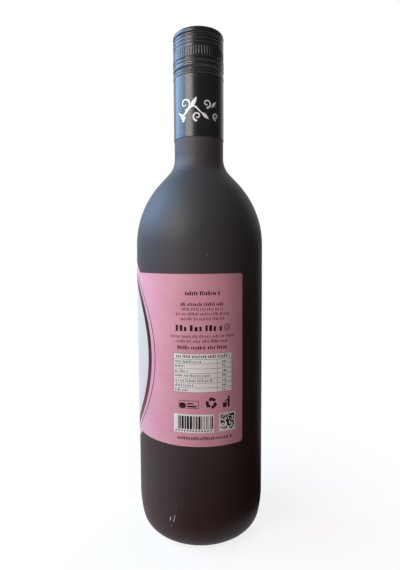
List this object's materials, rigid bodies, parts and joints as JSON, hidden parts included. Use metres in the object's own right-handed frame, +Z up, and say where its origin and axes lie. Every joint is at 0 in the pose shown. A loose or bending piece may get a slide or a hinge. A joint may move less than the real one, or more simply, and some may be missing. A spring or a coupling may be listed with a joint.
{
  "type": "bottle of grape drink",
  "caption": "Tall round-shouldered bottle of dark satin glass, full of red grape drink, with a long black aluminium screw closure and a pink die-cut wrap label with an oval front panel.",
  "frame": {"origin": "centre of the base, on the surface that the bottle stands on", "axes": "+Z up along the bottle's axis; the label's printed back panel faces -Y and its oval front panel faces -X, turned a little towards +Y"},
  "size_m": [0.0763, 0.0763, 0.2945],
  "materials": {
    "satin_glass": "satin, acid-etched",
    "drink": "clear liquid, very dark red",
    "closure": "satin black lacquer on aluminium",
    "label_paper": "matt printed paper, mottled pink"
  },
  "bodies": {
    "root": {"glass_bottle": "satin_glass", "drink": "drink", "closure": "closure", "label": "label_paper"}
  },
  "joints": []
}
